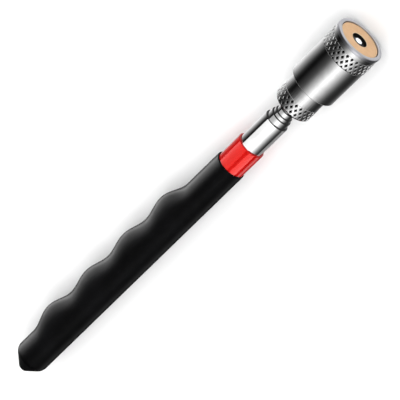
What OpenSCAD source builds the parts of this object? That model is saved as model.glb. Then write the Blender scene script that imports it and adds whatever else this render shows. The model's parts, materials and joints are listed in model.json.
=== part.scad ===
// Telescopic magnetic pickup tool with a light in its magnet head.
//
// The tool lies along X: the butt of the grip at the low end, the magnet face at the
// high end, the finger bumps towards +Y. Every part is drawn on the tool's own axis,
// with stations measured from the butt tip, and placed() then moves the whole tool so
// that the origin is under the middle of the tool, on the surface it lies on.
// The sections are stored pushed in, with only their stepped tips showing.

/* [Grip] */
// Length of the grip, from its pointed butt to its mouth
grip_l = 100.5; // [98:0.5:101.5]
// Diameter of the grip at its straight mouth
grip_d = 10.4; // [10.2:0.1:10.8]
// Distance from the axis to the top of the first and biggest finger bump
first_bump_r = 8.2; // [7.9:0.1:8.2]
// Distance from the axis to the tops of the other finger bumps
bump_r = 7.85; // [7.4:0.05:8.2]
// Distance from the axis to the bottom of a finger valley
valley_r = 6.35; // [5.8:0.05:6.8]
// Number of finger bumps
bump_n = 4; // [3:1:4]
// Distance from one finger bump to the next
bump_pitch = 17.9; // [16:0.1:18]
// Length over which the pointed nose would reach the full width
nose_l = 5; // [4.5:0.1:6]

/* [Collar] */
// Outer diameter of the red collar
collar_d = 9.4; // [9.2:0.02:9.6]
// Length of collar that shows in front of the grip
collar_l = 9.4; // [8:0.1:11]

/* [Telescopic tube] */
// Outer diameter of the outer tube
tube_d = 8.2; // [8.16:0.02:8.3]
// Length of outer tube that shows in front of the collar
tube_show = 11.8; // [10:0.1:13]
// Outer diameter of the second section, the first that slides out
section_d = 7.1; // [7.08:0.01:7.14]
// Step in diameter from each sliding section to the next
section_step = 0.9; // [0.9:0.01:0.92]
// Wall thickness of the sliding sections
wall = 0.25; // [0.22:0.01:0.26]
// Length of the friction bush on the back end of each sliding section
bush_l = 6; // [4:0.5:8]

/* [Head] */
// Diameter of the plain band at the back of the head
tail_d = 12.64; // [12.6:0.02:12.7]
// Diameter of the knurled band behind it
tail_knurl_d = 12.8; // [12.7:0.02:12.9]
// Diameter of the battery barrel
barrel_d = 16; // [15.9:0.05:16.1]
// Length of the battery barrel
barrel_l = 14.4; // [14.2:0.1:14.6]
// Diameter of the knurled front band
knurl_d = 16.3; // [16.1:0.05:16.35]
// Diameter of the ring round the magnet
face_d = 16.4; // [16.4:0.05:16.6]
// Outer diameter of the ring magnet
magnet_d = 13.6; // [13.2:0.1:13.6]
// Diameter of the hole through the ring magnet
magnet_hole_d = 5.3; // [5.2:0.1:6]
// Diameter of the ball that the head swivels on
ball_d = 6; // [5.9:0.05:6]

/* [Light] */
// Diameter of the lamp's lens
led_d = 3.4; // [3:0.1:3.6]
// Diameter of a button cell
cell_d = 7.9; // [7.7:0.1:7.9]
// Thickness of a button cell
cell_t = 3.6; // [3.5:0.05:3.6]

/* [Hidden] */
$fn = 96;

run = 0.05; // radial clearance of a running or sliding fit
rub = 0.1;  // gap between two faces that turn past each other

// Grip
nose_round = 1.1;               // half length of the rounding at the nose's shoulder
nose_tip = 0.2;                 // share of the full width at which the cone starts
tip_l = 0.6;                    // length of the rounding at the very tip
tip_blunt = 0.9;                // how far the tip is rounded in, of a whole dome
butt_r = 5.9;                   // bump side of the butt
back_r = 5.05;                  // side away from the bumps
first_bump_x = 21.9;
bump_run = 9.8;                 // length over which the end bumps rise and die out
last_bump_x = first_bump_x + (bump_n - 1) * bump_pitch;
grip_sides = 40;
nose_end = nose_l + nose_round;
bore_x = 8.5;                   // where the tube's bore starts inside the grip
collar_seat_l = 4;              // length of collar that is inside the grip's mouth

// Tubes
collar_end = grip_l + collar_l;
tube_end = collar_end + tube_show;
tube_wall = 0.3;
plug_l = 3.8;
back_x = bore_x + plug_l + 0.3; // back ends of all the sliding sections
tip_steps = [0, 2.1, 3.3, 4.9, 6]; // how far each section's tip is in front of the outer tube's
lip_l = 1.6;                    // length of the rolled-in lip at each tip
function section_r(n) = n == 1 ? tube_d / 2 : section_d / 2 - (n - 2) * section_step / 2;
function section_wall(n) = n == 1 ? tube_wall : wall;
function section_end(n) = tube_end + tip_steps[n - 1];
function section_bore(n) = section_r(n) - section_wall(n);

// Ball joint
neck_r = 1.5;
stud_l = 6;                     // length of the stud's shoulder inside the last section
stud_r = section_bore(5) - run;
ball_x = section_end(5) + 4.1;
lip_x = 1.2;                    // how far behind the ball's centre the socket's lip is
cone_slope = 1.28;              // how fast the mouth opens, so the head can tilt 30 degrees

// Head, from the back
tail_x = ball_x - 3.2;
tail_knurl_l = 4.9;
tail_l = 9.8;
neck_x = tail_x + tail_l;       // shoulder between the tail and the barrel
neck_d = 11.4;
neck_l = 7.1;
clip_x = neck_x + 6.2;
clip_t = 0.6;
seat_x = ball_x + 0.9;
seat_t = 2.2;
seat_r = 4;
spring_t = 0.6;
nut_t = 1.2;
cells_bore_r = 4.6;
cell_n = 4;
coil_x = seat_x + seat_t + spring_t + nut_t;
coil_l = 2.1;
cells_x = coil_x + coil_l;
cells_end = cells_x + cell_n * cell_t;
barrel_x = neck_x + rub;
barrel_end = barrel_x + barrel_l - rub;
barrel_flats = 360;
thread_r = 6.9;                 // front cap's screwed spigot
thread_l = 5;
cap_x = barrel_end + rub;
knurl_l = 4.6;
collar_x = cap_x + knurl_l;     // plain band in front of the knurl
plain_l = 1.5;
face_x = collar_x + plain_l;
face_t = 1.1;
total_l = face_x + face_t;
magnet_x = total_l - 3.9;
magnet_t = 3.6;
cup_back = 0.8;
cup_r = 7.25;
cup_wall = 0.3;
skirt_l = 1.5;
contact_t = 0.8;
board_x = cells_end + contact_t;
board_t = 0.8;
board_r = 5.9;
led_x = board_x + board_t + 0.8;
led_end = total_l - 0.6;
lead_gap = 2.2;                 // distance between the lamp's two wires

steel = [0.78, 0.79, 0.81];
bright = [0.86, 0.87, 0.89];
black_vinyl = [0.05, 0.05, 0.06];
seal_black = [0.09, 0.09, 0.1];

// ---------------------------------------------------------------- helpers

// Puts the tool's axis at the height of the ring round the magnet, which rests on the ground.
module placed() {
    translate([-total_l / 2, 0, face_d / 2])
        children();
}

// A turned part. Each point is [station, radius].
module turned(points) {
    placed()
        rotate([0, 90, 0])
            rotate_extrude()
                polygon([for (p = points) [p[1], p[0]]]);
}

// A round bar or hole on the tool's axis, not yet placed.
module bar(x, length, radius) {
    translate([x, 0, 0])
        rotate([0, 90, 0])
            cylinder(h = length, r = radius);
}

// A plain ring, from one station to another.
module ring(x, length, outer, inner) {
    turned([[x, inner], [x, outer], [x + length, outer], [x + length, inner]]);
}

// ---------------------------------------------------------------- grip

// Share of the full width that the nose has at a station: a cone with a rounded shoulder.
function cone(x) =
    let(slope = (1 - nose_tip) / nose_l)
    x < nose_l - nose_round ? nose_tip + slope * x
    : x < nose_l + nose_round ? 1 - slope * pow(nose_l + nose_round - x, 2) / (4 * nose_round)
    : 1;

// The same with the cone's tip rounded.
function nose(x) = cone(x) * sqrt(1 - tip_blunt * pow(1 - min(x / tip_l, 1), 2));

// Smooth change from one value to another as t goes from 0 to 1.
function blend(a, b, t) = a + (b - a) * (1 - cos(180 * t)) / 2;

// Height of the wavy side between the first bump and the last.
function wave(x) =
    let(
        turn = (x - first_bump_x) / bump_pitch,
        top = round(turn) == 0 ? first_bump_r : bump_r
    )
    valley_r + (top - valley_r) * (1 + cos(360 * turn)) / 2;

// Height of the grip's bump side at a station.
function bump_side(x) =
    x < first_bump_x - bump_run ? butt_r
    : x < first_bump_x ? blend(first_bump_r, butt_r, (first_bump_x - x) / bump_run)
    : x < last_bump_x ? wave(x)
    : x < last_bump_x + bump_run ? blend(bump_r, grip_d / 2, (x - last_bump_x) / bump_run)
    : grip_d / 2;

// One closed ring of points round the grip: half an oval on each side of the axis.
function grip_ring(x) = [
    for (k = [0 : grip_sides - 1])
        let(a = 360 * k / grip_sides)
            nose(x) * [x / nose(x), (cos(a) > 0 ? bump_side(x) : back_r) * cos(a), grip_d / 2 * sin(a)]
];

grip_stations = concat(
    [for (k = [0 : 3]) k * tip_l / 4],
    [for (k = [0 : 11]) tip_l + k * (nose_end - tip_l) / 12],
    [for (k = [0 : 56]) nose_end + k * (grip_l - nose_end) / 56]
);

module grip_skin() {
    rows = len(grip_stations);
    n = grip_sides;
    points = [for (x = grip_stations) each grip_ring(x)];
    side_faces = [
        for (i = [0 : rows - 2])
            for (k = [0 : n - 1])
                let(a = i * n + k, b = i * n + (k + 1) % n)
                    each [[a, b, b + n], [a, b + n, a + n]]
    ];
    back_face = [for (k = [n - 1 : -1 : 0]) k];
    front_face = [for (k = [0 : n - 1]) (rows - 1) * n + k];
    polyhedron(points, concat([back_face, front_face], side_faces), convexity = 4);
}

// Black vinyl sleeve with a pointed butt and finger bumps, pulled over the outer tube.
module grip_sleeve() {
    color(black_vinyl)
        placed()
            difference() {
                grip_skin();
                bar(bore_x, grip_l, tube_d / 2);
                bar(grip_l - collar_seat_l, collar_seat_l + 1, collar_d / 2);
            }
}

// Thin red plastic sleeve, pushed a little way into the grip's mouth.
module red_collar() {
    back = grip_l - collar_seat_l;
    edge = 0.12;
    color([0.9, 0.13, 0.1])
        turned([
            [back, tube_d / 2],
            [back, collar_d / 2],
            [collar_end - edge, collar_d / 2],
            [collar_end, collar_d / 2 - edge],
            [collar_end, tube_d / 2]
        ]);
}

// Plug that closes the back end of the outer tube.
module butt_plug() {
    color(seal_black)
        placed()
            bar(bore_x, plug_l, section_bore(1));
}

// ---------------------------------------------------------------- telescopic tube

// One tube of the telescope. Its tip is rolled in to guide the next section.
module section(n, back, tip_bore) {
    end = section_end(n);
    r = section_r(n);
    roll = 0.18;
    color(bright)
        turned([
            [back, section_bore(n)],
            [back, r],
            [end - roll, r],
            [end, r - roll],
            [end, tip_bore],
            [end - lip_l, tip_bore],
            [end - lip_l - 0.2, section_bore(n)]
        ]);
}

// Chromed tube that is fixed in the grip.
module outer_tube() {
    section(1, bore_x, section_r(2) + run);
}

// Sliding sections, each inside the one before.
module tube_2() {
    section(2, back_x, section_r(3) + run);
}

module tube_3() {
    section(3, back_x, section_r(4) + run);
}

module tube_4() {
    section(4, back_x, section_r(5) + run);
}

// Last section. Its tip is rolled in round the neck of the ball stud, and a crimp behind
// the stud's shoulder keeps the stud from sliding back.
module tube_5() {
    crimp_x = section_end(5) - lip_l - 0.2 - stud_l - 1;
    section(5, back_x, neck_r + run);
    color(bright)
        ring(crimp_x - 0.8, 0.8, section_bore(5), neck_r + 0.2);
}

// Split bronze bush on the back end of a sliding section. It gives the section its
// friction, and it meets the rolled-in lip of the tube outside it when pulled right out.
module bush(n) {
    slot = 0.7;
    color([0.72, 0.55, 0.32])
        difference() {
            ring(back_x, bush_l, section_bore(n - 1) - run, section_r(n));
            placed()
                translate([back_x - 1, -slot / 2, 0])
                    cube([bush_l + 2, slot, section_r(1)]);
        }
}

module bush_2() {
    bush(2);
}

module bush_3() {
    bush(3);
}

module bush_4() {
    bush(4);
}

module bush_5() {
    bush(5);
}

// ---------------------------------------------------------------- ball joint

// Shoulder, neck and ball in one turned piece. The shoulder turns in the last section.
module ball_stud() {
    shoulder_end = section_end(5) - lip_l - 0.3;
    color(steel)
        placed()
            union() {
                bar(shoulder_end - stud_l, stud_l, stud_r);
                bar(shoulder_end, ball_x - shoulder_end, neck_r);
                translate([ball_x, 0, 0])
                    sphere(d = ball_d);
            }
}

// Back half of the head: knurled band, plain band, the ball's socket with its wide mouth,
// and a long neck that holds the cells and carries the battery barrel.
module tail_cap() {
    r = tail_knurl_d / 2;
    rim = 0.8;
    knurl_end = tail_x + tail_knurl_l;
    groove_r = neck_d / 2 - 0.7;
    neck_end = neck_x + neck_l;
    color(bright)
        difference() {
            turned([
                [tail_x, 0],
                [tail_x, r - rim],
                [tail_x + rim * 0.3, r - rim * 0.3],
                [tail_x + rim, r],
                [knurl_end, r],
                [knurl_end + 0.1, tail_d / 2],
                [neck_x, tail_d / 2],
                [neck_x, neck_d / 2],
                [neck_x + 2.2, neck_d / 2],
                [neck_x + 2.2, groove_r],
                [neck_x + 3.4, groove_r],
                [neck_x + 3.4, neck_d / 2],
                [clip_x, neck_d / 2],
                [clip_x, groove_r],
                [clip_x + clip_t, groove_r],
                [clip_x + clip_t, neck_d / 2],
                [neck_end, neck_d / 2],
                [neck_end, 0]
            ]);
            placed() {
                // wide mouth that the neck of the stud tilts in
                translate([ball_x - lip_x - 3, 0, 0])
                    rotate([0, 90, 0])
                        cylinder(
                            h = 3,
                            r1 = socket_lip_r() + 3 * cone_slope,
                            r2 = socket_lip_r()
                        );
                translate([ball_x, 0, 0])
                    sphere(r = ball_d / 2 + run);
                bar(ball_x, 3, ball_d / 2 + run);
                bar(seat_x, seat_t + spring_t + nut_t, seat_r);
                bar(coil_x, neck_end - coil_x + 1, cells_bore_r);
            }
        }
}

// Radius at which the mouth's cone meets the ball's socket.
function socket_lip_r() = sqrt(pow(ball_d / 2 + run, 2) - pow(lip_x, 2));

// Plastic seat that presses on the front of the ball and gives the swivel its friction.
module ball_seat() {
    color([0.88, 0.87, 0.82])
        difference() {
            placed()
                bar(seat_x, seat_t, seat_r);
            placed() {
                translate([ball_x, 0, 0])
                    sphere(r = ball_d / 2 + run);
                bar(seat_x - 1, seat_t + 2, 1);
            }
        }
}

// Coned disc spring between the seat and its nut.
module seat_spring() {
    x = seat_x + seat_t;
    thick = 0.25;
    inner = 2;
    color([0.45, 0.46, 0.5])
        turned([
            [x, seat_r - 0.1],
            [x + thick, seat_r - 0.1],
            [x + spring_t, inner],
            [x + spring_t - thick, inner]
        ]);
}

// Screwed ring that holds the seat and its spring, and carries the cell spring.
module seat_nut() {
    color([0.8, 0.66, 0.35])
        ring(seat_x + seat_t + spring_t, nut_t, seat_r, 1.2);
}

// Rubber ring that seals the barrel on the neck.
module barrel_o_ring() {
    color(seal_black)
        ring(neck_x + 2.25, 1.1, neck_d / 2 + 0.02, neck_d / 2 - 0.7);
}

// Snap ring that keeps the barrel on the neck.
module neck_clip() {
    color(steel)
        difference() {
            ring(clip_x, clip_t, 6.3, neck_d / 2 - 0.7);
            placed()
                translate([clip_x - 1, -1, 0])
                    cube([clip_t + 2, 2, 7]);
        }
}

// ---------------------------------------------------------------- cells

// Wire swept along a coil whose radius changes from one end to the other.
module coil(x, length, turns, wire, back_radius, front_radius) {
    sides = 8;
    steps = 24 * turns;
    run_l = length - wire;
    function centre(t) =
        let(r = back_radius + (front_radius - back_radius) * t, a = 360 * turns * t)
            [x + wire / 2 + run_l * t, r * cos(a), r * sin(a)];
    points = [
        for (i = [0 : steps])
            let(t = i / steps, c = centre(t), a = 360 * turns * t)
                for (k = [0 : sides - 1])
                    let(b = 360 * k / sides)
                        c + wire / 2 * [sin(b), cos(b) * cos(a), cos(b) * sin(a)]
    ];
    side_faces = [
        for (i = [0 : steps - 1])
            for (k = [0 : sides - 1])
                let(a = i * sides + k, b = i * sides + (k + 1) % sides)
                    each [[a, a + sides, b + sides], [a, b + sides, b]]
    ];
    start_face = [for (k = [0 : sides - 1]) k];
    end_face = [for (k = [sides - 1 : -1 : 0]) steps * sides + k];
    polyhedron(points, concat([start_face, end_face], side_faces), convexity = 6);
}

// Coned contact spring behind the cells.
module cell_spring() {
    color([0.82, 0.83, 0.8])
        placed()
            coil(coil_x, coil_l, 3, 0.4, 3.2, 1.6);
}

// Insulating tube round the cells.
module cell_sleeve() {
    color([0.93, 0.93, 0.9])
        ring(coil_x + 1, neck_x + neck_l - coil_x - 1, cells_bore_r, cell_d / 2 + run);
}

// One button cell: a can, and a smaller cover towards the spring.
module button_cell(k) {
    x = cells_x + (k - 1) * cell_t;
    r = cell_d / 2;
    cover = 0.7;
    edge = 0.3;
    color([0.76, 0.77, 0.78])
        turned([
            [x, 0],
            [x, r - cover],
            [x + cover, r - cover],
            [x + cover, r],
            [x + cell_t - edge, r],
            [x + cell_t, r - edge],
            [x + cell_t, 0]
        ]);
}

module button_cell_1() {
    button_cell(1);
}

module button_cell_2() {
    button_cell(2);
}

module button_cell_3() {
    button_cell(3);
}

module button_cell_4() {
    button_cell(4);
}

// Barrel that turns on the tail's neck to switch the light, open at the front for the cap.
// Its outside has many narrow flats, so that the head lies on it without rocking.
module battery_barrel() {
    r = barrel_d / 2;
    edge = 0.2;
    ledge_x = clip_x - rub;
    length = barrel_end - barrel_x;
    color(bright)
        placed()
            difference() {
                hull() {
                    flat_bar(barrel_x, length, r - edge);
                    flat_bar(barrel_x + edge, length - 2 * edge, r);
                }
                bar(barrel_x - 1, length + 2, neck_d / 2 + run);
                bar(ledge_x, length, thread_r + run);
            }
}

// A bar on the tool's axis with many narrow flats round it, not yet placed.
module flat_bar(x, length, radius) {
    translate([x, 0, 0])
        rotate([0, 90, 0])
            cylinder(h = length, r = radius, $fn = barrel_flats);
}

// ---------------------------------------------------------------- front cap and light

// Rubber ring that seals the front cap's spigot in the barrel.
module cap_o_ring() {
    color(seal_black)
        ring(cap_x - 1.85, 1.1, thread_r + 0.02, thread_r - 0.68);
}

// Knurled front cap. Its spigot screws into the barrel, and it is bored in steps for the
// contact board and the magnet's cup.
module front_cap() {
    r = knurl_d / 2;
    plain_r = 7.95;
    edge = 0.25;
    spigot_x = cap_x - thread_l;
    groove_r = thread_r - 0.7;
    color(bright)
        turned([
            [spigot_x, 5.3],
            [spigot_x, thread_r],
            [cap_x - 1.9, thread_r],
            [cap_x - 1.9, groove_r],
            [cap_x - 0.7, groove_r],
            [cap_x - 0.7, thread_r],
            [cap_x, thread_r],
            [cap_x, r - edge],
            [cap_x + edge, r],
            [collar_x - edge, r],
            [collar_x, plain_r],
            [face_x, plain_r],
            [face_x, cup_r],
            [magnet_x - cup_back, cup_r],
            [magnet_x - cup_back, board_r],
            [board_x, board_r],
            [board_x, 5.3]
        ]);
}

// Satin ring round the magnet. Its skirt presses into the front cap.
module face_ring() {
    r = face_d / 2;
    inner = cup_r - cup_wall;
    edge = 0.18;
    color([0.8, 0.81, 0.84])
        turned([
            [face_x - skirt_l, inner],
            [face_x - skirt_l, cup_r],
            [face_x, cup_r],
            [face_x, r],
            [total_l - edge, r],
            [total_l, r - edge],
            [total_l, inner + edge],
            [total_l - edge, inner]
        ]);
}

// Steel cup behind and round the magnet, which turns its field to the front.
module magnet_cup() {
    back = magnet_x - cup_back;
    color(steel)
        turned([
            [back, magnet_hole_d / 2],
            [back, cup_r],
            [face_x - skirt_l, cup_r],
            [face_x - skirt_l, cup_r - cup_wall],
            [magnet_x, cup_r - cup_wall],
            [magnet_x, magnet_hole_d / 2]
        ]);
}

// Copper-coloured ring magnet, a little below the ring round it.
module ring_magnet() {
    edge = 0.15;
    front = magnet_x + magnet_t;
    color([0.88, 0.71, 0.52])
        turned([
            [magnet_x, magnet_hole_d / 2],
            [magnet_x, magnet_d / 2],
            [front - edge, magnet_d / 2],
            [front, magnet_d / 2 - edge],
            [front, magnet_hole_d / 2 + edge],
            [front - edge, magnet_hole_d / 2]
        ]);
}

// Black bush that centres the lamp in the magnet's hole.
module led_holder() {
    back = led_x + 1;
    front = led_end - 0.7;
    color(seal_black)
        ring(back, front - back, magnet_hole_d / 2, led_d / 2);
}

// Lamp with a flange at its back and a low domed front.
module led() {
    flange_r = led_d / 2 + 0.4;
    dome = 0.35;
    r = led_d / 2;
    // radius of the sphere whose cap is as wide as the lens and as high as the dome
    dome_r = (pow(r, 2) + pow(dome, 2)) / (2 * dome);
    color([0.95, 0.96, 1])
        placed()
            intersection() {
                union() {
                    bar(led_x, 1, flange_r);
                    bar(led_x + 1, led_end - led_x, r);
                }
                translate([led_end - dome_r, 0, 0])
                    sphere(r = dome_r);
            }
}

// The lamp's two wires, soldered to the board.
module led_leads() {
    start = board_x + board_t;
    color([0.8, 0.8, 0.78])
        placed()
            for (side = [-1, 1])
                translate([0, side * lead_gap / 2, 0])
                    bar(start, led_x - start, 0.25);
}

// Round circuit board between the cells and the lamp.
module contact_board() {
    color([0.1, 0.36, 0.2])
        placed()
            bar(board_x, board_t, board_r);
}

// Resistor on the board that limits the lamp's current.
module resistor() {
    size = [0.5, 1.2, 2];
    color(seal_black)
        placed()
            translate([board_x + board_t, 3.2, -size[2] / 2])
                cube(size);
}

// Brass button on the board that meets the front cell.
module front_contact() {
    color([0.8, 0.66, 0.35])
        placed()
            bar(cells_end, contact_t, 2.4);
}

// ---------------------------------------------------------------- nodes

grip_sleeve();
red_collar();
outer_tube();
butt_plug();
tube_2();
tube_3();
tube_4();
tube_5();
bush_2();
bush_3();
bush_4();
bush_5();
ball_stud();
tail_cap();
ball_seat();
seat_spring();
seat_nut();
barrel_o_ring();
neck_clip();
cell_spring();
cell_sleeve();
button_cell_1();
button_cell_2();
button_cell_3();
button_cell_4();
battery_barrel();
cap_o_ring();
front_cap();
face_ring();
magnet_cup();
ring_magnet();
led_holder();
led();
led_leads();
contact_board();
resistor();
front_contact();
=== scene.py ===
"""Looks of a telescopic magnetic pickup tool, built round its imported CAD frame.

Everything is in metres in the CAD's frame: the tool lies along X on the floor, with the
butt of its grip at the low end, its finger bumps towards +Y and its magnet face at the
high end. Stations are distances from the butt tip along the tool's axis.
"""

import json
import math

import bpy
import numpy as np
from mathutils import Matrix, Vector


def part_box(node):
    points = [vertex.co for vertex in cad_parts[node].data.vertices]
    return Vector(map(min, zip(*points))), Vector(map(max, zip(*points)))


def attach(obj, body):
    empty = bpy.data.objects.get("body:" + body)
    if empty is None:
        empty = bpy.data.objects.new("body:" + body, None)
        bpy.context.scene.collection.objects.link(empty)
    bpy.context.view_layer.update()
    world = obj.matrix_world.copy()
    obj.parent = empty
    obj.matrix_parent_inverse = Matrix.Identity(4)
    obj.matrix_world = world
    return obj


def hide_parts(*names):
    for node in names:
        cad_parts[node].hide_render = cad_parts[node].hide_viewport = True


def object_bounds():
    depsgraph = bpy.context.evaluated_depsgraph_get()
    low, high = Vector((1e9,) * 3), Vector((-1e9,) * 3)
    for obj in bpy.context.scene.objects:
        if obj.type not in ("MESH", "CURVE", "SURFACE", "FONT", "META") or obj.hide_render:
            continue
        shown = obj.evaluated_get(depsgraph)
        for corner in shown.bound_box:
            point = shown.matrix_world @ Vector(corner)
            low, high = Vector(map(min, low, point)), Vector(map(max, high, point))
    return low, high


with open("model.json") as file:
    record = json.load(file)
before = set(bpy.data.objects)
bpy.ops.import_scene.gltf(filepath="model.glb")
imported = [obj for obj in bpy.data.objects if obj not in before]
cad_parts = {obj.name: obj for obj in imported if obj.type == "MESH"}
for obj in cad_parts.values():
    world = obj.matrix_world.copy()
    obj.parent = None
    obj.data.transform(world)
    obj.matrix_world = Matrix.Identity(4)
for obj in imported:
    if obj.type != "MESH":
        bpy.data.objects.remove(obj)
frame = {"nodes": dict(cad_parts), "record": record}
CAD_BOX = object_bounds()

MM = 0.001
BUTT_X = CAD_BOX[0].x
AXIS_Z = (CAD_BOX[0].z + CAD_BOX[1].z) / 2
FINE = 144  # sides of a plain turned part


# ---------------------------------------------------------------- places and sizes


def station(distance_mm):
    """The X of a station given in millimetres from the butt tip."""
    return BUTT_X + distance_mm * MM


def span(node):
    """(back X, front X) of a CAD node."""
    lo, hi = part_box(node)
    return lo.x, hi.x


def radius(node):
    """Outer radius of a round CAD node."""
    lo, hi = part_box(node)
    return (hi.z - lo.z) / 2


# ---------------------------------------------------------------- meshes


def mesh_object(name, points, faces, material, crease_deg=30):
    """A mesh object with smooth faces, and creases where faces meet at a sharp angle."""
    mesh = bpy.data.meshes.new(name)
    mesh.from_pydata([tuple(p) for p in points], [], [tuple(f) for f in faces])
    mesh.validate()
    mesh.shade_smooth()
    mesh.set_sharp_from_angle(angle=math.radians(crease_deg))
    mesh.materials.append(material)
    obj = bpy.data.objects.new(name, mesh)
    bpy.context.scene.collection.objects.link(obj)
    return obj


def rounded(profile, fillets, steps=4):
    """A closed profile of (x, r) points with some corners rounded.

    fillets gives the fillet radius of a corner by its index in the profile.
    """
    out = []
    count = len(profile)
    for i, corner in enumerate(profile):
        fillet = fillets.get(i, 0)
        if not fillet:
            out.append(corner)
            continue
        here = Vector(corner)
        before = (Vector(profile[i - 1]) - here).normalized()
        after = (Vector(profile[(i + 1) % count]) - here).normalized()
        half = before.angle(after) / 2
        back_off = fillet / math.tan(half)
        start, end = here + before * back_off, here + after * back_off
        centre = here + (before + after).normalized() * (fillet / math.sin(half))
        for k in range(steps + 1):
            spoke = (start - centre).lerp(end - centre, k / steps)
            out.append(tuple(centre + spoke.normalized() * fillet))
    return out


def lathe_points(rows, sides):
    """Points of rings round the tool's axis. A row is (x, radius) or (x, list of radii)."""
    turn = np.arange(sides) * 2 * math.pi / sides
    points = []
    for x, r in rows:
        reach = np.broadcast_to(np.asarray(r, float), (sides,))
        ring = np.stack(
            [np.full(sides, x), reach * np.sin(turn), AXIS_Z + reach * np.cos(turn)], 1
        )
        points.append(ring)
    return np.concatenate(points)


def lathe_faces(rows, sides, closed=True):
    """Faces between neighbouring rings, split along the more level diagonal on a knurl."""
    faces = []
    count = len(rows)
    for i in range(count if closed else count - 1):
        j = (i + 1) % count
        near, far = rows[i][1], rows[j][1]
        uneven = not (np.isscalar(near) and np.isscalar(far))
        if uneven:
            near = np.broadcast_to(np.asarray(near, float), (sides,))
            far = np.broadcast_to(np.asarray(far, float), (sides,))
        for k in range(sides):
            m = (k + 1) % sides
            a, b, c, d = i * sides + k, i * sides + m, j * sides + m, j * sides + k
            if not uneven:
                faces.append((a, b, c, d))
            elif abs(near[k] - far[m]) <= abs(near[m] - far[k]):
                faces.append((a, b, c))
                faces.append((a, c, d))
            else:
                faces.append((a, b, d))
                faces.append((b, c, d))
    return faces


def turned(name, rows, material, body, nodes, slot, sides=FINE, crease_deg=30):
    """A hollow turned piece that stands for CAD nodes. rows go round its section once."""
    obj = mesh_object(
        name, lathe_points(rows, sides), lathe_faces(rows, sides), material, crease_deg
    )
    return piece(obj, body, nodes, slot)


def solid_turned(name, rows, material, body, nodes, slot, sides=FINE, crease_deg=30):
    """A turned piece with no hole: rows run from its back centre to its front centre."""
    points = lathe_points(rows, sides)
    faces = lathe_faces(rows, sides, closed=False)
    last = (len(rows) - 1) * sides
    faces.append(tuple(range(sides))[::-1])
    faces.append(tuple(last + k for k in range(sides)))
    return piece(mesh_object(name, points, faces, material, crease_deg), body, nodes, slot)


def piece(obj, body, nodes, slot):
    """Turns a finished object's faces outward, sets it on the empty of what it rides on and hides
    the CAD nodes it stands for.
    """
    mesh = obj.data
    outward(mesh)
    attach(obj, body)
    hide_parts(*nodes)
    return obj


def outward(mesh):
    """Turns a closed mesh's faces outward, by the sign of its volume."""
    mesh.calc_loop_triangles()
    co = np.array([v.co for v in mesh.vertices])
    tri = np.array([t.vertices for t in mesh.loop_triangles])
    a, b, c = co[tri[:, 0]], co[tri[:, 1]], co[tri[:, 2]]
    if np.einsum("ij,ij->", a, np.cross(b, c)) < 0:
        mesh.flip_normals()


# ---------------------------------------------------------------- material helpers


class Shader:
    """A material's node tree, with short calls for the nodes used here."""

    def __init__(self, name):
        self.material = bpy.data.materials.new(name)
        self.material.use_nodes = True
        self.tree = self.material.node_tree
        self.main = self.tree.nodes["Principled BSDF"]

    def node(self, kind, inputs=None, **settings):
        made = self.tree.nodes.new("ShaderNode" + kind)
        for key, value in settings.items():
            setattr(made, key, value)
        for key, value in (inputs or {}).items():
            self.feed(made.inputs[key], value)
        return made

    def feed(self, socket, value):
        if isinstance(value, bpy.types.NodeSocket):
            self.tree.links.new(value, socket)
        else:
            socket.default_value = value

    def math(self, operation, a, b=0.0):
        return self.node("Math", {0: a, 1: b}, operation=operation).outputs[0]

    def mix(self, share, a, b):
        made = self.node("Mix", data_type="RGBA")
        self.feed(made.inputs["Factor"], share)
        self.feed(made.inputs["A"], a)
        self.feed(made.inputs["B"], b)
        return made.outputs["Result"]

    def ramp(self, value, low, high, out_low=0.0, out_high=1.0):
        """A smooth change of a number from one level to another."""
        made = self.node(
            "MapRange",
            {0: value, 1: low, 2: high, 3: out_low, 4: out_high},
            interpolation_type="SMOOTHSTEP",
        )
        return made.outputs[0]

    def object_point(self):
        return self.node("TexCoord").outputs["Object"]

    def polar(self):
        """(x, turn about the tool's axis in radians, distance from the axis)."""
        split = self.node("SeparateXYZ", {0: self.object_point()})
        x, y, z = split.outputs[0], split.outputs[1], split.outputs[2]
        up = self.math("SUBTRACT", z, AXIS_Z)
        turn = self.math("ARCTAN2", y, up)
        square = self.math("ADD", self.math("MULTIPLY", y, y), self.math("MULTIPLY", up, up))
        return x, turn, self.math("SQRT", square)

    def noise(self, scale, vector=None, detail=3.0, roughness=0.5):
        made = self.node(
            "TexNoise",
            {
                "Vector": vector or self.object_point(),
                "Scale": scale,
                "Detail": detail,
                "Roughness": roughness,
            },
        )
        return made.outputs["Fac"]

    def turning_marks(self, per_metre, round_scale=3.0):
        """Noise drawn out round the axis, as a lathe or a polishing wheel leaves it."""
        x, turn, reach = self.polar()
        along = self.math("MULTIPLY", x, per_metre)
        across = self.math("MULTIPLY", reach, per_metre)
        wrapped = self.math("MULTIPLY", self.math("COSINE", turn), round_scale)
        place = self.node("CombineXYZ", {0: along, 1: wrapped, 2: across}).outputs[0]
        return self.noise(1.0, place, detail=4.0, roughness=0.6)

    def bump(self, height, distance, strength=1.0, under=None):
        inputs = {"Height": height, "Distance": distance, "Strength": strength}
        if under is not None:
            inputs["Normal"] = under
        return self.node("Bump", inputs).outputs["Normal"]

    def finish(self, **sockets):
        """Feeds the main shader's sockets, named with underscores for spaces."""
        for key, value in sockets.items():
            self.feed(self.main.inputs[key.replace("_", " ")], value)
        return self.material


def grey(level, alpha=1.0):
    return (level, level, level, alpha)


# ---------------------------------------------------------------- materials


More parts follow.
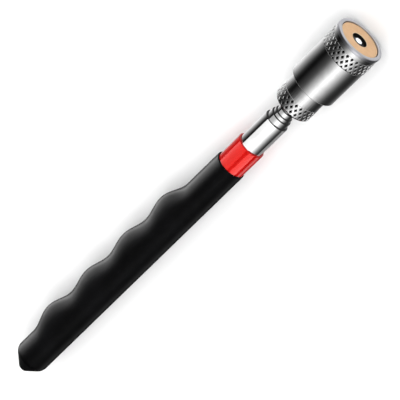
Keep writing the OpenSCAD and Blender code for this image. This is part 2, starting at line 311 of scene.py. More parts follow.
def vinyl_material():
    """Glossy black dipped vinyl: pores, a soft unevenness, rub marks and a dull rim."""
    s = Shader("vinyl")
    pores = s.noise(2600, detail=2.0)
    swell = s.noise(130, detail=2.0)
    rub_place = s.node("Mapping", {0: s.object_point(), 3: (60, 420, 420)}).outputs[0]
    rubs = s.ramp(s.noise(1.0, rub_place, detail=5.0, roughness=0.7), 0.56, 0.72)
    dark, pale = (0.0008, 0.0008, 0.0010, 1), (0.0016, 0.0016, 0.0020, 1)
    base = s.mix(s.ramp(swell, 0.35, 0.65), dark, pale)
    base = s.mix(s.math("MULTIPLY", rubs, 0.35), base, (0.006, 0.006, 0.007, 1))
    gloss = s.ramp(s.noise(420, detail=4.0), 0.3, 0.7, 0.40, 0.46)
    gloss = s.math("ADD", gloss, s.math("MULTIPLY", rubs, 0.05))
    rim = s.ramp(s.node("LayerWeight", {"Blend": 0.5}).outputs["Facing"], 0.50, 0.85)
    gloss = s.math("ADD", gloss, s.math("MULTIPLY", rim, 0.5))
    normal = s.bump(pores, 0.00002, 0.35, s.bump(swell, 0.0001, 0.25))
    return s.finish(
        Base_Color=base, Roughness=gloss, Normal=normal, IOR=1.46, Specular_IOR_Level=0.08
    )


def red_plastic_material():
    """Bright red moulded plastic with a clear gloss and faint flow lines."""
    s = Shader("red_plastic")
    flow = s.noise(1.0, s.node("Mapping", {0: s.object_point(), 3: (90, 500, 500)}).outputs[0])
    speck = s.ramp(s.noise(2400, detail=3.0), 0.66, 0.78)
    base = s.mix(s.ramp(flow, 0.3, 0.7), (0.43, 0.002, 0.001, 1), (0.50, 0.003, 0.002, 1))
    base = s.mix(s.math("MULTIPLY", speck, 0.3), base, (0.30, 0.004, 0.002, 1))
    gloss = s.ramp(s.noise(600, detail=4.0), 0.3, 0.7, 0.08, 0.14)
    normal = s.bump(flow, 0.00005, 0.2)
    return s.finish(
        Base_Color=base,
        Roughness=gloss,
        Normal=normal,
        Specular_Tint=(1.0, 0.12, 0.10, 1),
        IOR=1.5,
    )


def plated_material(name, level, rough_low, rough_high, marks, marks_depth, tint=1.0):
    """Bright plating over turned metal: fine rings, haze and hairline scratches."""
    s = Shader(name)
    rings = s.turning_marks(marks)
    haze = s.noise(160, detail=5.0, roughness=0.6)
    hair_place = s.node("Mapping", {0: s.object_point(), 2: (0.3, 0.2, 0.5), 3: (300, 5200, 5200)})
    hair = s.ramp(s.noise(1.0, hair_place.outputs[0], detail=2.0), 0.70, 0.76)
    bright = (level, level, level * tint, 1)
    dull = (level * 0.86, level * 0.86, level * 0.86 * tint, 1)
    base = s.mix(s.ramp(haze, 0.35, 0.7), bright, dull)
    base = s.mix(s.math("MULTIPLY", hair, 0.25), base, grey(level * 0.6))
    gloss = s.ramp(rings, 0.25, 0.75, rough_low, rough_high)
    gloss = s.math("ADD", gloss, s.math("MULTIPLY", hair, 0.10))
    normal = s.bump(rings, marks_depth, 0.5)
    return s.finish(Base_Color=base, Metallic=1.0, Roughness=gloss, Normal=normal)


def knurl_material(name, level, crest_radius, depth):
    """Plated knurl: the pits are painted near black as shade, and the crests are rubbed bright."""
    s = Shader(name)
    reach = s.polar()[2]
    crest = s.ramp(reach, crest_radius - depth * 0.8, crest_radius - depth * 0.2)
    # painted shade: the pits below the crests are coloured near black, where shade falls in them
    painted_pit_shade = s.ramp(s.noise(900, detail=4.0), 0.25, 0.75, 0.002, 0.02)
    haze = s.noise(260, detail=5.0)
    bright = s.mix(s.ramp(haze, 0.35, 0.7), grey(level), grey(level * 0.84))
    pit = s.node("CombineColor", {0: painted_pit_shade, 1: painted_pit_shade, 2: painted_pit_shade}).outputs[0]
    base = s.mix(crest, pit, bright)
    gloss = s.math("ADD", s.ramp(haze, 0.3, 0.7, 0.20, 0.28), s.ramp(crest, 0, 1, 0.35, 0.0))
    normal = s.bump(s.noise(3200, detail=3.0), 0.00001, 0.4)
    return s.finish(Base_Color=base, Metallic=1.0, Roughness=gloss, Normal=normal)


def magnet_material(outer, hole):
    """Copper-coloured plated magnet: satin grain, paler worn rims, a few dull spots, and painted
    shade on the wall of its hole.
    """
    s = Shader("magnet")
    reach = s.polar()[2]
    grain = s.noise(3000, detail=4.0)
    cloud = s.noise(420, detail=4.0)
    spots = s.ramp(s.noise(1500, detail=2.0), 0.68, 0.76)
    base = s.mix(s.ramp(cloud, 0.3, 0.7), (0.84, 0.54, 0.30, 1), (0.79, 0.49, 0.26, 1))
    base = s.mix(s.math("MULTIPLY", spots, 0.35), base, (0.45, 0.25, 0.12, 1))
    inner_rim = s.ramp(reach, hole + 0.12 * MM, hole + 0.3 * MM, 1.0, 0.0)
    outer_rim = s.ramp(reach, outer - 0.35 * MM, outer - 0.1 * MM)
    rim = s.math("MAXIMUM", inner_rim, s.math("MULTIPLY", outer_rim, 0.5))
    base = s.mix(s.math("MULTIPLY", rim, 0.6), base, (0.93, 0.80, 0.60, 1))
    # painted shade: the hole's wall is coloured near black, as shade falls in the hole
    wall = s.ramp(reach, hole + 0.02 * MM, hole + 0.10 * MM, 1.0, 0.0)
    base = s.mix(wall, base, (0.012, 0.011, 0.010, 1))
    gloss = s.ramp(grain, 0.3, 0.7, 0.38, 0.50)
    normal = s.bump(grain, 0.00001, 0.5, s.bump(cloud, 0.00002, 0.3))
    return s.finish(Base_Color=base, Metallic=0.45, Roughness=gloss, Normal=normal)


def plain_material(name, colour, metallic, rough, grain=2200, depth=0.00001, wear=0.8):
    """A part seen little or not at all: mottled colour, varied gloss and a fine grain."""
    s = Shader(name)
    mottle = s.noise(380, detail=4.0)
    fine = s.noise(grain, detail=3.0)
    worn = tuple(c * wear for c in colour) + (1,)
    base = s.mix(s.ramp(mottle, 0.3, 0.7), tuple(colour) + (1,), worn)
    gloss = s.ramp(fine, 0.3, 0.7, rough * 0.85, min(1.0, rough * 1.2))
    normal = s.bump(fine, depth, 0.5, s.bump(mottle, depth * 3, 0.3))
    return s.finish(Base_Color=base, Metallic=metallic, Roughness=gloss, Normal=normal)


def lens_material():
    """White lamp: milky top, faint yellow die in the middle and a dark outer edge."""
    s = Shader("lens")
    reach = s.polar()[2]
    die = s.ramp(reach, 0.25 * MM, 0.8 * MM, 1.0, 0.0)
    edge = s.ramp(reach, 1.0 * MM, 1.3 * MM)
    cloud = s.noise(900, detail=3.0)
    base = s.mix(s.ramp(cloud, 0.3, 0.7), (0.92, 0.94, 0.97, 1), (0.82, 0.86, 0.92, 1))
    base = s.mix(s.math("MULTIPLY", die, 0.35), base, (0.95, 0.88, 0.55, 1))
    base = s.mix(edge, base, (0.020, 0.022, 0.025, 1))
    glow = s.ramp(edge, 0.0, 1.0, 0.35, 0.0)
    gloss = s.ramp(cloud, 0.3, 0.7, 0.05, 0.12)
    return s.finish(
        Base_Color=base,
        Roughness=gloss,
        Emission_Color=(0.95, 0.97, 1.0, 1),
        Emission_Strength=glow,
    )


def stage_material(name, level):
    s = Shader(name)
    mottle = s.noise(9, detail=3.0)
    base = s.mix(s.ramp(mottle, 0.3, 0.7), grey(level), grey(level * 0.985))
    return s.finish(Base_Color=base, Roughness=0.9, Specular_IOR_Level=0.1)


# ---------------------------------------------------------------- grip

NOSE_L = 5.0  # where the cone would reach the full width
NOSE_ROUND = 1.1  # half length of the rounding at the cone's shoulder
NOSE_TIP = 0.2  # share of the full width at which the cone starts
TIP_L = 0.6  # length of the rounding at the very tip
TIP_BLUNT = 0.9  # how far the tip is rounded in, of a whole dome
BUTT_BUMP_SIDE = 5.9
BACK_SIDE = 5.05
FIRST_BUMP = (21.9, 8.2)  # station, distance of its top from the axis
BUMP_TOP = 7.85
VALLEY = 6.35
BUMP_PITCH = 17.9
BUMP_COUNT = 4
BUMP_RUN = 9.8
GRIP_SIDES = 120
GRIP_ROWS = 260
MOUTH_ROUND = 0.35  # rounding of the grip's front edge
COLLAR_SEAT_L = 4.0
COLLAR_PLAY = 0.05 * MM
MOUTH_BEVEL = 0.1  # how far behind the mouth its bore starts
TIP_ROWS = 10
NOSE_ROWS = 44
MOUTH_STEPS = 5


def nose_share(x):
    """Share of the full width at a station: a cone with a rounded tip and shoulder."""
    slope = (1 - NOSE_TIP) / NOSE_L
    if x < NOSE_L - NOSE_ROUND:
        dome = math.sqrt(1 - TIP_BLUNT * (1 - min(x / TIP_L, 1)) ** 2)
        return (NOSE_TIP + slope * x) * dome
    if x < NOSE_L + NOSE_ROUND:
        return 1 - slope * (NOSE_L + NOSE_ROUND - x) ** 2 / (4 * NOSE_ROUND)
    return 1.0


def eased(a, b, t):
    return a + (b - a) * (1 - math.cos(math.pi * t)) / 2


def bump_side(x, straight):
    """Distance from the axis to the grip's bump side at a station."""
    first_x, first_top = FIRST_BUMP
    last_x = first_x + (BUMP_COUNT - 1) * BUMP_PITCH
    if x < first_x - BUMP_RUN:
        return BUTT_BUMP_SIDE
    if x < first_x:
        return eased(first_top, BUTT_BUMP_SIDE, (first_x - x) / BUMP_RUN)
    if x < last_x:
        turn = (x - first_x) / BUMP_PITCH
        top = first_top if round(turn) == 0 else BUMP_TOP
        return VALLEY + (top - VALLEY) * (1 + math.cos(2 * math.pi * turn)) / 2
    if x < last_x + BUMP_RUN:
        return eased(BUMP_TOP, straight, (x - last_x) / BUMP_RUN)
    return straight


def grip_ring(x, share, straight):
    """One ring round the grip: half an oval on each side of the axis."""
    ring = []
    for k in range(GRIP_SIDES):
        a = 2 * math.pi * k / GRIP_SIDES
        wide = bump_side(x, straight) if math.cos(a) > 0 else BACK_SIDE
        y = share * wide * math.cos(a)
        z = share * straight * math.sin(a)
        ring.append((station(x), y * MM, AXIS_Z + z * MM))
    return ring


def bore_ring(x, reach):
    """One ring of the grip's bore, with its points in step with grip_ring's."""
    turns = [2 * math.pi * k / GRIP_SIDES for k in range(GRIP_SIDES)]
    return [(station(x), reach * math.cos(a), AXIS_Z + reach * math.sin(a)) for a in turns]


def grip_outside(length, straight):
    """Rings of the grip's skin, from the butt's tip round the edge of its mouth."""
    nose_end = NOSE_L + NOSE_ROUND
    stations = list(np.linspace(0, TIP_L, TIP_ROWS))
    stations += list(np.linspace(TIP_L, nose_end, NOSE_ROWS)[1:])
    stations += list(np.linspace(nose_end, length - MOUTH_ROUND, GRIP_ROWS)[1:])
    rings = [grip_ring(x, nose_share(x), straight) for x in stations]
    for k in range(1, MOUTH_STEPS + 1):
        a = math.pi / 2 * k / MOUTH_STEPS
        drop = MOUTH_ROUND * (1 - math.cos(a))
        x = length - MOUTH_ROUND * (1 - math.sin(a))
        rings.append(grip_ring(x, 1 - drop / straight, straight))
    return rings


def grip_bore(length):
    """Rings of the grip's bore: the collar's seat, then the tube's bore to its end."""
    tube_r = radius("outer_tube")
    seat_r = radius("red_collar") + COLLAR_PLAY
    back = (span("outer_tube")[0] - BUTT_X) / MM
    seat = length - COLLAR_SEAT_L
    places = [(length - MOUTH_BEVEL, seat_r), (seat, seat_r), (seat, tube_r), (back, tube_r)]
    return [bore_ring(x, reach) for x, reach in places]


def make_grip(material):
    """The grip's skin, its rounded mouth and the bore that holds the tube and collar."""
    lo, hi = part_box("grip_sleeve")
    length = (hi.x - lo.x) / MM
    straight = (hi.z - lo.z) / 2 / MM
    rings = grip_outside(length, straight) + grip_bore(length)
    points = [p for ring in rings for p in ring]
    n = GRIP_SIDES
    faces = []
    for i in range(len(rings) - 1):
        for k in range(n):
            m = (k + 1) % n
            faces.append((i * n + k, i * n + m, (i + 1) * n + m, (i + 1) * n + k))
    faces.append(tuple(range(n))[::-1])
    faces.append(tuple((len(rings) - 1) * n + k for k in range(n)))
    return piece(
        mesh_object("grip", points, faces, material, 50), "handle", ["grip_sleeve"], "vinyl"
    )


# ---------------------------------------------------------------- tubes

LIP_L = 1.6
ROLL = 0.07 * MM  # rounding of a tube's tip
STUD_R = 1.9 * MM
STUD_NECK_R = 1.5 * MM
STUD_BEVEL = 0.2 * MM
STUD_EDGE = 0.1 * MM
STUD_GAP = 0.3  # from the last section's rolled lip back to the stud's shoulder
BALL_STEPS = 32
BALL_FLAT = 0.03  # radians left out at the ball's front, closed by a tiny flat
SECTIONS = (
    # node, body, wall, bore through its rolled lip
    ("outer_tube", "handle", 0.30 * MM, 3.60 * MM),
    ("tube_2", "section_2", 0.25 * MM, 3.15 * MM),
    ("tube_3", "section_3", 0.25 * MM, 2.70 * MM),
    ("tube_4", "section_4", 0.25 * MM, 2.25 * MM),
    ("tube_5", "section_5", 0.25 * MM, 1.55 * MM),
)


def make_section(node, body, wall, lip_bore, material, shade):
    """One tube of the telescope, its tip rolled in round the next one, with painted shade on the
    tip's rounding and front face.
    """
    back, front = span(node)
    r = radius(node)
    lip_back = front - LIP_L * MM
    profile = [
        (back, r - wall),
        (back, r),
        (front, r),
        (front, lip_bore),
        (lip_back, lip_bore),
        (lip_back - 0.2 * MM, r - wall),
    ]
    rows = rounded(profile, {1: 0.05 * MM, 2: ROLL, 3: 0.06 * MM}, steps=6)
    made = turned(node + "_skin", rows, material, body, [node], "chrome_tube")
    # painted shade: the tip's rounding and front face get a near-black plating, for the dark line
    # at each step
    paint_band(made, shade, front - ROLL, front, 0.0)
    return made


def make_collar(material):
    """Thin red sleeve with a rounded front lip."""
    back, front = span("red_collar")
    r, bore = radius("red_collar"), radius("outer_tube") + 0.02 * MM
    profile = [(back, bore), (back, r), (front, r), (front, bore)]
    rows = rounded(profile, {1: 0.08 * MM, 2: 0.2 * MM, 3: 0.1 * MM}, steps=6)
    return turned("collar", rows, material, "handle", ["red_collar"], "red_plastic")


def make_stud(material):
    """Shoulder, neck and ball of the swivel in one turned piece."""
    back, front = span("ball_stud")
    ball_r = radius("ball_stud")
    ball_x = front - ball_r
    tip = span("tube_5")[1]
    shoulder_end = tip - (LIP_L + STUD_GAP) * MM
    start = math.asin(STUD_NECK_R / ball_r)
    rows = [
        (back, STUD_R - STUD_BEVEL),
        (back + STUD_BEVEL, STUD_R),
        (shoulder_end - STUD_EDGE, STUD_R),
        (shoulder_end, STUD_R - STUD_EDGE),
        (shoulder_end, STUD_NECK_R),
    ]
    for k in range(BALL_STEPS + 1):
        a = start + (math.pi - BALL_FLAT - start) * k / BALL_STEPS
        rows.append((ball_x - ball_r * math.cos(a), ball_r * math.sin(a)))
    return solid_turned("stud", rows, material, "swivel", ["ball_stud"], "steel", 96)


# ---------------------------------------------------------------- knurled parts

KNURL_STEPS = 14  # mesh steps in one period of the knurl, both ways
KNURL_LAND = 2.9 / KNURL_STEPS  # half width of a ridge's flat top, in periods
KNURL_WALL = 4.7 / KNURL_STEPS  # where a ridge's side meets the pit's floor
PIT_LENGTH = 2.7  # axial period of the knurl, in millimetres
TAIL_PITS = 22  # pits round the lower band
CAP_PITS = 28  # pits round the upper band
KNURL_DEPTH = 0.42 * MM
TAIL_KNURL_L = 4.9 * MM
TAIL_L = 9.8 * MM  # from the back of the head to the shoulder in front of the barrel
CAP_KNURL_L = 4.6 * MM
TAIL_STEP = 0.08 * MM  # how much lower the plain band is than the knurl's crests
CAP_STEP = 0.2 * MM
TAIL_CHAMFER = 0.5 * MM
SKIN = 1.0 * MM  # depth under a band that still counts as its outside
TAIL_NECK_R = 5.7 * MM
TAIL_GROOVE_R = 5.0 * MM
# The tail's neck in front of the shoulder: how far each stretch reaches, and its radius.
TAIL_NECK = (
    (2.2 * MM, TAIL_NECK_R),
    (3.4 * MM, TAIL_GROOVE_R),
    (6.2 * MM, TAIL_NECK_R),
    (6.8 * MM, TAIL_GROOVE_R),
)
TAIL_CELLS_R = 4.6 * MM  # bore for the cells
TAIL_BORE_R = 4 * MM  # bore behind them, for the ball's seat and nut
BALL_PLAY = 0.05 * MM
SOCKET_STEPS = 8
LIP_REACH = 1.2 * MM  # how far behind the ball's centre the socket's lip stands
MOUTH_SLOPE = 1.28  # widening of the mouth behind the lip, which lets the ball tilt
SPIGOT_L = 5 * MM
SPIGOT_R = 6.9 * MM
SPIGOT_BORE_R = 5.3 * MM
SEAL_GROOVE_R = 6.2 * MM
SEAL_GROOVE = (1.9 * MM, 0.7 * MM)  # back and front of the groove, behind the knurl


def knurl_rows(start, end, crest, count, depth, chamfer):
    """Rings of a diamond knurl from one X to another, with its back end turned down.

    count is the number of pits round the band. The axial period is PIT_LENGTH whatever the count,
    so the pits keep the lengthwise lozenge shape of the real ones.
    """
    rows_wanted = round((end - start) / (PIT_LENGTH * MM) * KNURL_STEPS)
    around = np.arange(count * KNURL_STEPS) / KNURL_STEPS
    rows = []
    for i in range(rows_wanted + 1):
        x = start + (end - start) * i / rows_wanted
        along = i / KNURL_STEPS
        ridge_a = np.abs((around + along) % 1 - 0.5)
        ridge_b = np.abs((around - along) % 1 - 0.5)
        away = np.minimum(ridge_a, ridge_b)
        sunk = np.clip((away - KNURL_LAND) / (KNURL_WALL - KNURL_LAND), 0, 1)
        reach = crest - depth * sunk
        limit = crest - max(0.0, chamfer - (x - start))
        rows.append((x, np.minimum(reach, limit)))
    return rows


def make_tail(metal, knurl):
    """Back half of the head: knurled band, plain band, socket and the long neck."""
    back, front = span("tail_cap")
    crest = radius("tail_cap")
    plain = crest - TAIL_STEP
    knurl_end = back + TAIL_KNURL_L
    shoulder = back + TAIL_L
    ball_r = radius("ball_stud") + BALL_PLAY
    ball_x = span("ball_stud")[1] - radius("ball_stud")
    lip_x = ball_x - LIP_REACH
    lip_r = math.sqrt(ball_r**2 - LIP_REACH**2)
    mouth_r = lip_r + (lip_x - back) * MOUTH_SLOPE
    rows = [(back, mouth_r), (back, crest - 0.85 * MM), (back + 0.05 * MM, crest - 0.8 * MM)]
    rows += knurl_rows(back + 0.1 * MM, knurl_end, crest, TAIL_PITS, KNURL_DEPTH, TAIL_CHAMFER)
    rows += [
        (knurl_end + 0.1 * MM, plain),
        (shoulder - 0.15 * MM, plain),
        (shoulder - 0.04 * MM, plain - 0.04 * MM),
        (shoulder, plain - 0.15 * MM),
    ]
    start = shoulder
    for reach, neck_r in TAIL_NECK:
        rows += [(start, neck_r), (shoulder + reach, neck_r)]
        start = shoulder + reach
    rows += [(start, TAIL_NECK_R), (front, TAIL_NECK_R)]
    coil_x = span("cell_spring")[0]
    seat_x = span("ball_seat")[0]
    rows += [(front, TAIL_CELLS_R), (coil_x, TAIL_CELLS_R)]
    rows += [(coil_x, TAIL_BORE_R), (seat_x, TAIL_BORE_R), (seat_x, ball_r)]
    for k in range(SOCKET_STEPS + 1):
        a = math.asin(LIP_REACH / ball_r) * k / SOCKET_STEPS
        rows.append((ball_x - ball_r * math.sin(a), ball_r * math.cos(a)))
    sides = TAIL_PITS * KNURL_STEPS
    made = turned("tail_shell", rows, metal, "head_tail", ["tail_cap"], "nickel", sides)
    paint_band(made, knurl, back, knurl_end, plain - SKIN)
    return made


def paint_band(obj, material, start, end, least):
    """Gives the outer faces between two stations their own material."""
    mesh = obj.data
    mesh.materials.append(material)
    for face in mesh.polygons:
        c = face.center
        if start <= c.x <= end and math.hypot(c.y, c.z - AXIS_Z) > least:
            face.material_index = 1


def make_front_cap(metal, knurl):
    """Knurled front cap with a plain band in front and a screwed spigot behind."""
    back, front = span("front_cap")
    crest = radius("front_cap")
    plain = crest - CAP_STEP
    cap_x = back + SPIGOT_L
    knurl_end = cap_x + CAP_KNURL_L
    board_x = span("contact_board")[0]
    board_r = radius("contact_board")
    cup_back = span("magnet_cup")[0]
    cup_r = radius("magnet_cup")
    groove_back, groove_front = (cap_x - away for away in SEAL_GROOVE)
    rows = [
        (back, SPIGOT_BORE_R),
        (back, SPIGOT_R),
        (groove_back, SPIGOT_R),
        (groove_back, SEAL_GROOVE_R),
        (groove_front, SEAL_GROOVE_R),
        (groove_front, SPIGOT_R),
        (cap_x, SPIGOT_R),
        (cap_x, crest - 0.5 * MM),
    ]
    start, end = cap_x + 0.02 * MM, knurl_end - 0.05 * MM
    rows += knurl_rows(start, end, crest, CAP_PITS, KNURL_DEPTH, 0.05 * MM)
    rows += [
        (knurl_end, plain),
        (front - 0.2 * MM, plain),
        (front - 0.05 * MM, plain - 0.05 * MM),
        (front, plain - 0.2 * MM),
        (front, cup_r),
        (cup_back, cup_r),
        (cup_back, board_r),
        (board_x, board_r),
        (board_x, SPIGOT_BORE_R),
    ]
    sides = CAP_PITS * KNURL_STEPS
    made = turned("cap_shell", rows, metal, "light_cap", ["front_cap"], "nickel", sides)
    paint_band(made, knurl, cap_x, knurl_end, plain - SKIN)
    return made


# ---------------------------------------------------------------- barrel and face


EDGE = 0.2 * MM  # softening of the barrel's back shoulder, coloured paler as worn plating and as a painted highlight
NECK_BORE_R = 5.75 * MM
FRONT_BORE_R = 6.95 * MM  # bore of the barrel's front part and of the face ring
LEDGE_L = 6 * MM  # from the barrel's back to the step between its bores
MAGNET_HOLE = 2.65 * MM
LAMP_RIM = 0.4 * MM  # how far the lamp's flange stands out
LAMP_FLANGE_L = 1 * MM
LAMP_DOME = 0.35 * MM  # height of the lamp's domed front
LAMP_STEPS = 12


def make_barrel(material, worn):
    """Smooth battery barrel with softened shoulders at both ends."""
    back, front = span("battery_barrel")
    r = radius("battery_barrel")
    ledge = back + LEDGE_L
    profile = [
        (back, NECK_BORE_R),
        (back, r),
        (front, r),
        (front, FRONT_BORE_R),
        (ledge, FRONT_BORE_R),
        (ledge, NECK_BORE_R),
    ]
    rows = rounded(profile, {1: EDGE, 2: 0.08 * MM}, steps=6)
    made = turned(
        "barrel_shell", rows, material, "head_barrel", ["battery_barrel"], "nickel"
    )
    # worn plating and painted highlight: the back shoulder's rounding gets a paler, rougher
    # plating, for a bright line along that edge
    paint_band(made, worn, back, back + EDGE, r - EDGE)
    return made


def make_face_ring(material):
    """Satin ring round the magnet, with a soft outer edge and a bevel inside."""
    back, front = span("face_ring")
    r = radius("face_ring")
    inner = FRONT_BORE_R
    skirt_r = radius("magnet_cup")
    rim_back = span("front_cap")[1]
    profile = [
        (back, inner),
        (back, skirt_r),
        (rim_back, skirt_r),
        (rim_back, r),
        (front, r),
        (front, inner),
    ]
    fillets = {3: 0.08 * MM, 4: 0.24 * MM, 5: 0.14 * MM}
    rows = rounded(profile, fillets, steps=6)
    return turned("bezel", rows, material, "light_cap", ["face_ring"], "satin_nickel")


def make_magnet(material):
    """Ring magnet with worn, slightly rounded rims."""
    back, front = span("ring_magnet")
    r, hole = radius("ring_magnet"), MAGNET_HOLE
    profile = [(back, hole), (back, r), (front, r), (front, hole)]
    rows = rounded(profile, {2: 0.18 * MM, 3: 0.22 * MM}, steps=6)
    return turned("magnet", rows, material, "light_cap", ["ring_magnet"], "magnet")


def make_lamp(material):
    """Lamp with a flange at its back and a low domed front."""
    back, front = span("led")
    flange = radius("led")
    r = flange - LAMP_RIM
    dome_r = (r**2 + LAMP_DOME**2) / (2 * LAMP_DOME)
    rows = [(back, flange), (back + LAMP_FLANGE_L, flange), (back + LAMP_FLANGE_L, r)]
    for k in range(LAMP_STEPS):
        reach = r * (1 - k / LAMP_STEPS)
        rows.append((front - dome_r + math.sqrt(dome_r**2 - reach**2), reach))
    return solid_turned("lamp", rows, material, "light_cap", ["led"], "lens", 64)


# ---------------------------------------------------------------- the whole tool


def carry_over(materials):
    """Puts a procedural material on every CAD node that is still shown."""
    slots = {row["node"]: row["material_slot"] for row in frame["record"]["subparts"]}
    for name, obj in frame["nodes"].items():
        if obj.hide_render:
            continue
        obj.data.materials.clear()
        obj.data.materials.append(materials[slots[name]])


def make_materials():
    chrome = plated_material("chrome_tube", 0.80, 0.04, 0.09, 5200, 0.000003)
    nickel = plated_material("nickel", 0.74, 0.07, 0.14, 4200, 0.000004)
    satin = plated_material("satin_nickel", 0.64, 0.30, 0.38, 3600, 0.000006, 1.06)
    return {
        "vinyl": vinyl_material(),
        "red_plastic": red_plastic_material(),
        "chrome_tube": chrome,
        "nickel": nickel,
        "satin_nickel": satin,
        "magnet": magnet_material(radius("ring_magnet"), MAGNET_HOLE),
        "steel": plain_material("steel", (0.62, 0.63, 0.65), 1.0, 0.24),
        "bronze": plain_material("bronze", (0.66, 0.45, 0.20), 1.0, 0.34),
        "white_plastic": plain_material("white_plastic", (0.80, 0.79, 0.74), 0.0, 0.5),
        "black_plastic": plain_material("black_plastic", (0.012, 0.012, 0.013), 0.0, 0.5),
        "seal": plain_material("seal", (0.014, 0.014, 0.015), 0.0, 0.62),
        "cell_can": plain_material("cell_can", (0.62, 0.63, 0.64), 1.0, 0.28),
        "lens": lens_material(),
        "board": plain_material("board", (0.02, 0.12, 0.05), 0.0, 0.35),
    }


def make_tool():
    materials = make_materials()
    tail_knurl = knurl_material("tail_knurl", 0.88, radius("tail_cap"), KNURL_DEPTH)
    cap_knurl = knurl_material("cap_knurl", 0.88, radius("front_cap"), KNURL_DEPTH)
    # painted shade: a near-black plating for the tubes' tips
    lip_shade = plated_material("lip_shade", 0.05, 0.26, 0.40, 5200, 0.000003)
    # worn plating and painted highlight: a paler, rougher plating for the barrel's back edge
    worn_and_highlight_edge = plated_material("worn_and_highlight_edge", 0.90, 0.50, 0.60, 5200, 0.000003)
    grip = make_grip(materials["vinyl"])
    collar = make_collar(materials["red_plastic"])
    tubes = [
        make_section(node, body, wall, lip_bore, materials["chrome_tube"], lip_shade)
        for node, body, wall, lip_bore in SECTIONS
    ]
    make_stud(materials["steel"])
    make_tail(materials["nickel"], tail_knurl)
    make_barrel(materials["nickel"], worn_and_highlight_edge)
    make_front_cap(materials["nickel"], cap_knurl)
    make_face_ring(materials["satin_nickel"])
    make_magnet(materials["magnet"])
    make_lamp(materials["lens"])
    carry_over(materials)
    return {"grip": [grip], "collar": [collar], "tube": tubes[:1], "sections": tubes[1:]}


# ---------------------------------------------------------------- stage, light, camera

FLOOR_R = 14.0  # the camera stays inside it even for the fully open tool
FLOOR_FLAT = 0.8  # share of its radius that is flat
FLOOR_DROP = 0.0002  # how far it lies under the tool
FLOOR_LEVEL = 0.94
STAGE_SIDES = 96
SWEEP_STEPS = 12
VIEW_BACK = Vector((0.465, 0.0, 0.885)).normalized()  # from the tool towards the camera
VIEW_UP = Vector((0.617, 0.717, -0.324))
AIM = Vector((0.0045, -0.00098, 0.0082))
LENS = 600.0
SENSOR = 36.0
CLIP_END = 40
FRAME_W = 0.1199  # width of what the camera sees at the tool


def disc_faces(rings, sides):
    faces = [tuple(range(sides))]
    for i in range(rings - 1):
        for k in range(sides):
            m = (k + 1) % sides
            faces.append((i * sides + k, (i + 1) * sides + k, (i + 1) * sides + m, i * sides + m))
    return faces


def make_stage():
    """Pale round floor that curves up far away into a backdrop."""
    sides = STAGE_SIDES
    flat, bend = FLOOR_R * FLOOR_FLAT, FLOOR_R * (1 - FLOOR_FLAT)
    sweep = [(FLOOR_R / 2, 0.0), (flat, 0.0)]
    for k in range(1, SWEEP_STEPS + 1):
        a = math.pi / 2 * k / SWEEP_STEPS
        sweep.append((flat + bend * math.sin(a), bend * (1 - math.cos(a))))
    sweep.append((FLOOR_R, FLOOR_R))
    points = []
    for reach, height in sweep:
        for k in range(sides):
            a = 2 * math.pi * k / sides
            points.append((reach * math.cos(a), reach * math.sin(a), height - FLOOR_DROP))
    floor_rings = 2
    floor = mesh_object(
        "floor",
        points[: floor_rings * sides],
        disc_faces(floor_rings, sides),
        stage_material("floor", FLOOR_LEVEL),
    )
    wall_points = points[(floor_rings - 1) * sides :]
    wall_faces = disc_faces(len(sweep) - floor_rings + 1, sides)[1:]
    wall = mesh_object("backdrop", wall_points, wall_faces, stage_material("backdrop", FLOOR_LEVEL))
    floor.visible_glossy = False
    wall.visible_glossy = False


SUN_POWER = 2.15
SUN_SPREAD = 80  # degrees
SUN_TILT = (-8, -12)  # degrees round X and Y

# Panels that only a few pieces see, each placed where they mirror it to the camera:
# pieces, degrees round the tool, half its spread in degrees, brightness.
PANELS = (
    ("grip", 105, 45, 9.0),
    ("grip", -128, 32, 0.8),
    ("tube", 24, 40, 1.2),
    ("tube", -124, 18, 0.3),
    ("sections", 24, 40, 0.55),
    ("collar", 42, 44, 5.6),
    ("collar", -52, 24, 8.2),
    ("collar", -112, 12, 2.0),
)
PANEL_AWAY = 0.6
PANEL_LONG = 0.45


def make_panel(name, pieces, turn_deg, half_deg, level):
    """A soft panel that a few pieces mirror. It lights nothing else."""
    turn = math.radians(turn_deg)
    back, reach = -VIEW_BACK.x, VIEW_BACK.z
    away = Vector((back, reach * math.sin(turn), reach * math.cos(turn)))
    across = Vector((0, math.cos(turn), -math.sin(turn)))
    data = bpy.data.lights.new(name, "AREA")
    data.shape = "RECTANGLE"
    data.size = 2 * PANEL_AWAY * reach * math.tan(math.radians(half_deg))
    data.size_y = PANEL_LONG
    data.energy = level * math.pi * data.size * data.size_y
    lamp = bpy.data.objects.new(name, data)
    axes = Matrix((across, away.cross(across), away)).transposed().to_4x4()
    lamp.matrix_world = Matrix.Translation(away * PANEL_AWAY) @ axes
    lamp.visible_camera = False
    lamp.visible_diffuse = False
    reached = bpy.data.collections.new(name)
    for piece in pieces:
        reached.objects.link(piece)
    lamp.light_linking.receiver_collection = reached
    lamp.light_linking.blocker_collection = reached
    bpy.context.scene.collection.objects.link(lamp)


def make_sun():
    """Broad even light from above that isn't mirrored in the metal."""
    data = bpy.data.lights.new("ceiling", "SUN")
    data.energy = SUN_POWER
    data.angle = math.radians(SUN_SPREAD)
    lamp = bpy.data.objects.new("ceiling", data)
    lamp.rotation_euler = (math.radians(SUN_TILT[0]), math.radians(SUN_TILT[1]), 0)
    lamp.visible_glossy = False
    bpy.context.scene.collection.objects.link(lamp)


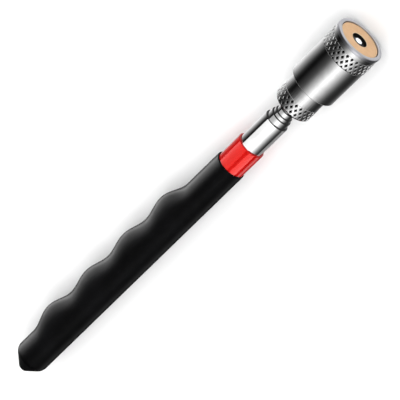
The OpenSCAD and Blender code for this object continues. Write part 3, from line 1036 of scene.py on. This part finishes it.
# Brightness of the room round the tool's axis: (degrees from straight up towards the
# finger bumps, level). The metal's smooth bands are its reflection.
ROOM = (
    (-180, 0.80),
    (-160, 0.30),
    (-140, 0.10),
    (-119, 0.023),
    (-102, 0.028),
    (-89, 0.054),
    (-77, 0.16),
    (-65, 0.40),
    (-55, 0.68),
    (-45, 1.00),
    (-35, 1.40),
    (-25, 1.62),
    (-16, 1.30),
    (-7, 0.87),
    (2, 0.61),
    (11.5, 0.38),
    (21, 0.16),
    (30, 0.08),
    (40, 0.05),
    (50, 0.028),
    (60, 0.008),
    (71, 0.004),
    (83, 0.03),
    (95, 0.14),
    (110, 0.36),
    (128, 0.72),
    (150, 1.20),
    (180, 0.90),
)
# The room beyond each end of the tool: the direction's X where it sets in and where it
# is full, how far it evens out the bands there, and its brightness.
ROOM_ENDS = (
    (0.0, 0.4, 0.45, 0.95),  # beyond the magnet face
    (-0.58, -0.82, 1.0, 0.03),  # beyond the butt
)


def room_bands(tree, direction, top):
    """The room's colour by the angle round the tool's axis, with top as full white."""
    new, link = tree.nodes.new, tree.links.new
    turn = new("ShaderNodeMath")
    turn.operation = "ARCTAN2"
    link(direction.outputs["Y"], turn.inputs[0])
    link(direction.outputs["Z"], turn.inputs[1])
    place = new("ShaderNodeMapRange")
    place.inputs["From Min"].default_value = -math.pi
    place.inputs["From Max"].default_value = math.pi
    link(turn.outputs[0], place.inputs["Value"])
    bands = new("ShaderNodeValToRGB")
    bands.color_ramp.interpolation = "B_SPLINE"
    stops = bands.color_ramp.elements
    while len(stops) < len(ROOM):
        stops.new(0.5)
    for stop, (degrees, level) in zip(stops, ROOM):
        stop.position = degrees / 360 + 0.5
        stop.color = grey(level / top)
    link(place.outputs[0], bands.inputs[0])
    return bands.outputs["Color"]


def room_end(tree, direction, colour, start, end, most, flat_colour):
    """The room's colour, evened out towards one end of the tool."""
    new, link = tree.nodes.new, tree.links.new
    share = new("ShaderNodeMapRange")
    share.interpolation_type = "SMOOTHSTEP"
    share.inputs["From Min"].default_value = start
    share.inputs["From Max"].default_value = end
    share.inputs["To Max"].default_value = most
    link(direction.outputs["X"], share.inputs["Value"])
    mix = new("ShaderNodeMix")
    mix.data_type = "RGBA"
    link(share.outputs[0], mix.inputs["Factor"])
    link(colour, mix.inputs["A"])
    mix.inputs["B"].default_value = flat_colour
    return mix.outputs["Result"]


def make_room():
    """Soft gradients all round the tool, as a light tent with black flags gives."""
    world = bpy.data.worlds.new("room")
    world.use_nodes = True
    tree = world.node_tree
    place = tree.nodes.new("ShaderNodeTexCoord").outputs["Generated"]
    direction = tree.nodes.new("ShaderNodeSeparateXYZ")
    tree.links.new(place, direction.inputs[0])
    top = max(level for _, level in ROOM)
    colour = room_bands(tree, direction, top)
    for start, end, most, level in ROOM_ENDS:
        colour = room_end(tree, direction, colour, start, end, most, grey(level / top))
    background = tree.nodes["Background"]
    background.inputs["Strength"].default_value = top
    tree.links.new(colour, background.inputs["Color"])
    bpy.context.scene.world = world


def make_light(pieces):
    make_room()
    make_sun()
    for count, (target, turn_deg, half_deg, level) in enumerate(PANELS):
        make_panel(f"{target}_panel_{count}", pieces[target], turn_deg, half_deg, level)


def make_camera():
    data = bpy.data.cameras.new("camera")
    data.lens = LENS
    data.sensor_width = SENSOR
    data.clip_end = CLIP_END
    camera = bpy.data.objects.new("camera", data)
    distance = FRAME_W / 2 / (SENSOR / 2 / LENS)
    right = VIEW_UP.cross(VIEW_BACK).normalized()
    up = VIEW_BACK.cross(right)
    turn = Matrix((right, up, VIEW_BACK)).transposed().to_4x4()
    camera.matrix_world = Matrix.Translation(AIM + VIEW_BACK * distance) @ turn
    bpy.context.scene.collection.objects.link(camera)
    bpy.context.scene.camera = camera


lit_pieces = make_tool()
make_stage()
make_light(lit_pieces)
make_camera()
bpy.context.scene.view_settings.view_transform = "Standard"
